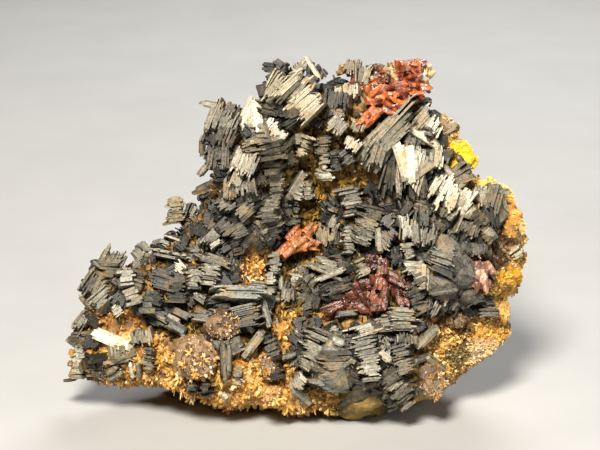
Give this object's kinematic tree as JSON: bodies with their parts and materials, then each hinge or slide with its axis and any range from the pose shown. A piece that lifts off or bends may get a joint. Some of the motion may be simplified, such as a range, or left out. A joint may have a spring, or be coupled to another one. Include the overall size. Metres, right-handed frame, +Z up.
{
  "type": "descloizite mineral specimen",
  "caption": "Cabinet mineral specimen: dark stepped stacks of plate-like crystals and clusters of red crystals on an ochre rock lump, with a crystal-lined hollow and a flat resting base.",
  "frame": {"origin": "under the middle of the specimen's box, on the surface it stands on", "axes": "+X to the right seen from the crystal side, -Y out of the crystal side towards the viewer, +Z up"},
  "size_m": [0.1116, 0.0668, 0.086],
  "materials": {
    "matrix": "rough, earthy ochre and orange-brown rock",
    "dark_crystal": "dark grey to black, submetallic, striated plates",
    "red_crystal": "glossy red-brown to orange crystal",
    "orange_crystal": "glossy orange-brown blades",
    "dark_red_crystal": "glossy dark red-brown crystal",
    "hollow_crust": "small ochre and amber blades"
  },
  "bodies": {
    "root": {"matrix": "matrix", "crown_crystals": "dark_crystal", "upper_right_crystals": "dark_crystal", "right_crystals": "dark_crystal", "lower_left_crystals": "dark_crystal", "lower_left_crystals_2": "dark_crystal", "left_crystals": "dark_crystal", "right_crystals_2": "dark_crystal", "lower_right_crystals": "dark_crystal", "lower_right_crystals_2": "dark_crystal", "left_crystals_2": "dark_crystal", "lower_right_crystals_3": "dark_crystal", "crown_crystals_2": "dark_crystal", "lower_right_crystals_4": "dark_crystal", "hollow_crystals": "dark_crystal", "lower_right_crystals_5": "dark_crystal", "hollow_crystals_2": "dark_crystal", "left_crystals_3": "dark_crystal", "left_crystals_4": "dark_crystal", "crown_crystals_3": "dark_crystal", "left_crystals_5": "dark_crystal", "crown_crystals_4": "dark_crystal", "hollow_crystals_3": "dark_crystal", "back_crystals": "dark_crystal", "right_crystals_3": "dark_crystal", "back_crystals_2": "dark_crystal", "back_crystals_3": "dark_crystal", "hollow_crystals_4": "dark_crystal", "back_crystals_4": "dark_crystal", "hollow_crystals_5": "dark_crystal", "back_crystals_5": "dark_crystal", "back_crystals_6": "dark_crystal", "hollow_crystals_6": "dark_crystal", "left_crystals_6": "dark_crystal", "right_crystals_4": "dark_crystal", "shoulder_crystals": "dark_crystal", "right_crystals_5": "dark_crystal", "hollow_crystals_7": "dark_crystal", "right_crystals_6": "dark_crystal", "crown_crystals_5": "dark_crystal", "left_crystals_7": "dark_crystal", "lower_left_crystals_3": "dark_crystal", "left_crystals_8": "dark_crystal", "left_crystals_9": "dark_crystal", "lower_left_crystals_4": "dark_crystal", "lower_left_crystals_5": "dark_crystal", "lower_left_crystals_6": "dark_crystal", "right_crystals_7": "dark_crystal", "hollow_crystals_8": "dark_crystal", "red_crystals_top": "red_crystal", "orange_crystals_middle": "orange_crystal", "dark_red_crystals_right": "dark_red_crystal", "hollow_crust": "hollow_crust"}
  },
  "joints": []
}
